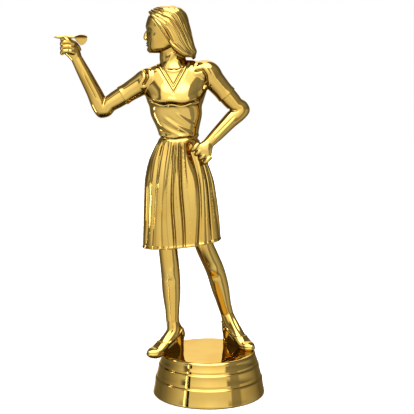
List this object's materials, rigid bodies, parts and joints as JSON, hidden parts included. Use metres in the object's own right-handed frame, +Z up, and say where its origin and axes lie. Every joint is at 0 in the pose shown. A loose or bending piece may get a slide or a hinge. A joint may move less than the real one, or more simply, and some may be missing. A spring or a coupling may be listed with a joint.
{
  "type": "figure trophy",
  "caption": "Gold-coloured moulded trophy figure of a darts player in blouse and pleated skirt, aiming a dart, on a round stepped base with a captive nut underneath.",
  "frame": {"origin": "on the table, under the middle of the whole trophy's bounding box; the base's own axis stands 17.7 mm to +X of it", "axes": "+Z up; the figure's chest faces -Y; the dart points to -X"},
  "size_m": [0.0784, 0.043, 0.1473],
  "materials": {
    "gold_film": "vacuum-metallised gold film on polystyrene, mirror gloss",
    "nut_steel": "zinc-plated, satin",
    "spring_steel": "phosphated spring steel"
  },
  "bodies": {
    "root": {"base": "gold_film", "body_front": "gold_film", "body_back": "gold_film", "skirt_floor": "gold_film", "head": "gold_film", "arm_raised": "gold_film", "arm_akimbo": "gold_film", "leg_right": "gold_film", "leg_left": "gold_film", "dart": "gold_film", "nut": "nut_steel", "nut_retainer": "spring_steel"}
  },
  "joints": []
}
